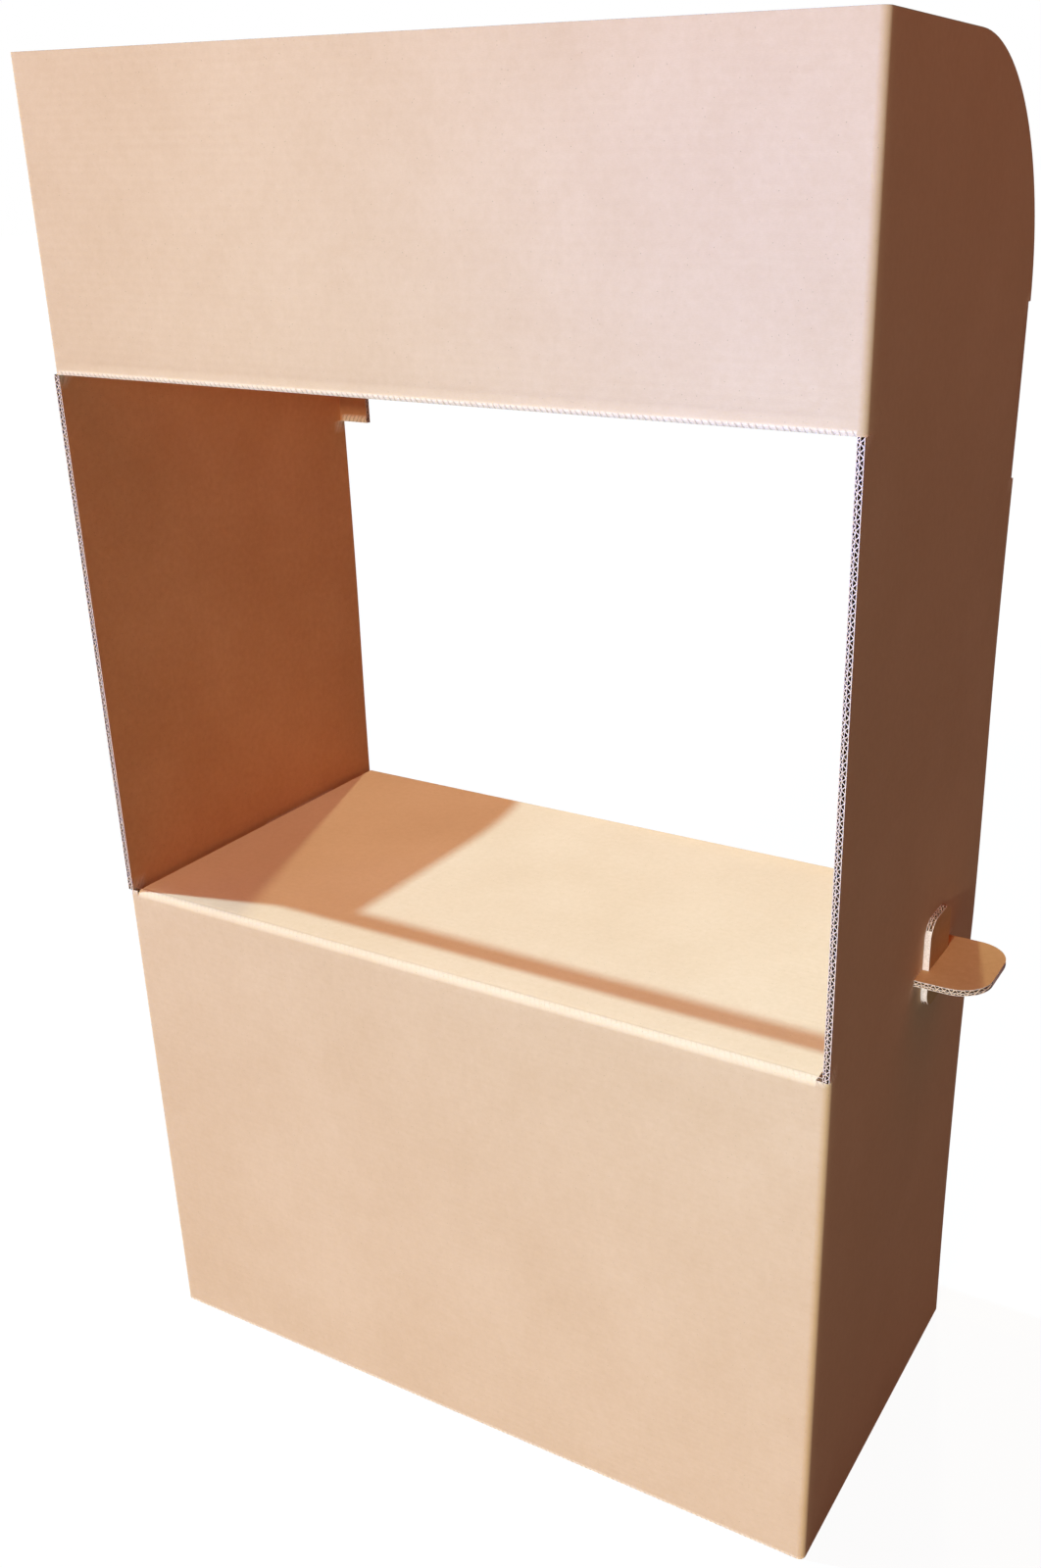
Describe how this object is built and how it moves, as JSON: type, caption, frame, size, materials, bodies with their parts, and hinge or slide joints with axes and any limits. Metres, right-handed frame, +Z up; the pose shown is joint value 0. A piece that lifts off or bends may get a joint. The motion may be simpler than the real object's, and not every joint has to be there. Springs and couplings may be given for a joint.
{
  "type": "cardboard display stand",
  "caption": "Free-standing corrugated board stand, open at the back, with a header, a serving window, a folded counter and tongue-and-key locks.",
  "frame": {"origin": "on the floor, at the middle of the width and of the depth", "axes": "+X across the stand, to the right as seen from the front, +Y from the front wall to the open back, +Z up"},
  "size_m": [1.039, 0.456, 1.5],
  "materials": {
    "body_board": "natural kraft liner, matt, fluted cut edges",
    "support_board": "natural kraft liner, matt, fluted cut edges",
    "key_board": "natural kraft liner, matt, fluted cut edges"
  },
  "bodies": {
    "root": {"stand_body": "body_board", "counter_support": "support_board", "lock_key_left": "key_board", "lock_key_right": "key_board"}
  },
  "joints": []
}
